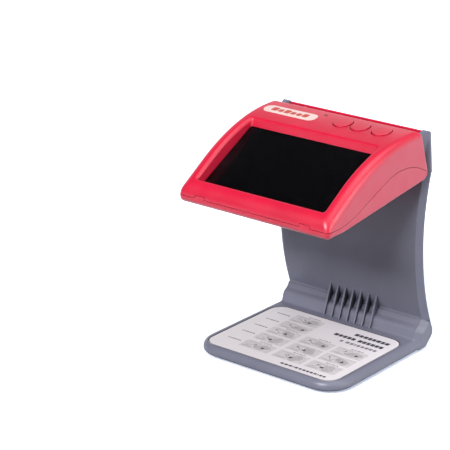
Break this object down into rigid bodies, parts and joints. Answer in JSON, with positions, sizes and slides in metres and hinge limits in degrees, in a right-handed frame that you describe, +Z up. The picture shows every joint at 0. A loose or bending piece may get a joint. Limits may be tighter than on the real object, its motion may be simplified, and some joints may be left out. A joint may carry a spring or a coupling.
{
  "type": "counterfeit bill detector",
  "caption": "Tabletop banknote checker: a thin curved column holds a tilted-screen camera head over a flat base with a note placement guide.",
  "frame": {"origin": "on the table, under the middle of the object's box", "axes": "+X to the object's right as the user faces it, +Y towards its back, +Z up; the user faces the screen from -Y"},
  "size_m": [0.1164, 0.1193, 0.1524],
  "materials": {
    "red_plastic": "semi-gloss moulded, saturated red",
    "stand_plastic": "fine-textured moulded, blue-grey",
    "label_film": "printed satin film",
    "badge_film": "satin film",
    "screen_glass": "clear polished",
    "lcd_face": "dark polariser",
    "lcd_metal": "stamped",
    "foot_rubber": "matt",
    "zinc_steel": "zinc plated",
    "black_plastic": "moulded",
    "connector_plastic": "moulded nylon",
    "nickel_contact": "nickel plated",
    "cable_jacket": "satin jacket",
    "flex_film": "polyimide film",
    "light_pipe": "translucent",
    "circuit_board": "solder mask",
    "chip_epoxy": "moulded epoxy",
    "lens_glass": "coated lens",
    "ir_led_epoxy": "tinted epoxy",
    "uv_led_epoxy": "clear epoxy",
    "ir_filter": "dark filter acrylic"
  },
  "bodies": {
    "root": {"stand_shell": "stand_plastic", "column_rear_cover": "stand_plastic", "cover_screws": "zinc_steel", "rear_vent_panel": "red_plastic", "base_bottom_plate": "stand_plastic", "rubber_feet": "foot_rubber", "base_screws": "zinc_steel", "note_guide_label": "label_film", "dc_jack_body": "black_plastic", "dc_jack_pin": "nickel_contact", "power_lead": "cable_jacket", "head_top_shell": "red_plastic", "head_bottom_shell": "red_plastic", "head_mount_screws": "zinc_steel", "shell_screws": "zinc_steel", "screen_glass": "screen_glass", "lcd_frame": "lcd_metal", "lcd_panel": "lcd_face", "display_ribbon": "flex_film", "badge_plate": "badge_film", "status_light": "light_pipe", "switch_bodies": "black_plastic", "control_board": "circuit_board", "control_board_screws": "zinc_steel", "main_board": "circuit_board", "board_screws": "zinc_steel", "main_chips": "chip_epoxy", "board_connectors": "connector_plastic", "camera_board": "circuit_board", "lens_holder": "black_plastic", "lens_barrel": "black_plastic", "lens_glass": "lens_glass", "led_board": "circuit_board", "led_screws": "zinc_steel", "infrared_leds": "ir_led_epoxy", "ultraviolet_leds": "uv_led_epoxy", "lamp_window": "ir_filter"},
    "button_left_body": {"button_left": "red_plastic", "switch_plunger_left": "connector_plastic"},
    "button_middle_body": {"button_middle": "red_plastic", "switch_plunger_middle": "connector_plastic"},
    "button_right_body": {"button_right": "red_plastic", "switch_plunger_right": "connector_plastic"}
  },
  "joints": [
    {"name": "button_left_press", "type": "slide", "parent": "root", "child": "button_left_body", "axis": [0, 0, -1], "range_m": [0, 0.0006], "stiffness_N_per_m": 800, "springref_m": -0.001},
    {"name": "button_middle_press", "type": "slide", "parent": "root", "child": "button_middle_body", "axis": [0, 0, -1], "range_m": [0, 0.0006], "stiffness_N_per_m": 800, "springref_m": -0.001},
    {"name": "button_right_press", "type": "slide", "parent": "root", "child": "button_right_body", "axis": [0, 0, -1], "range_m": [0, 0.0006], "stiffness_N_per_m": 800, "springref_m": -0.001}
  ]
}
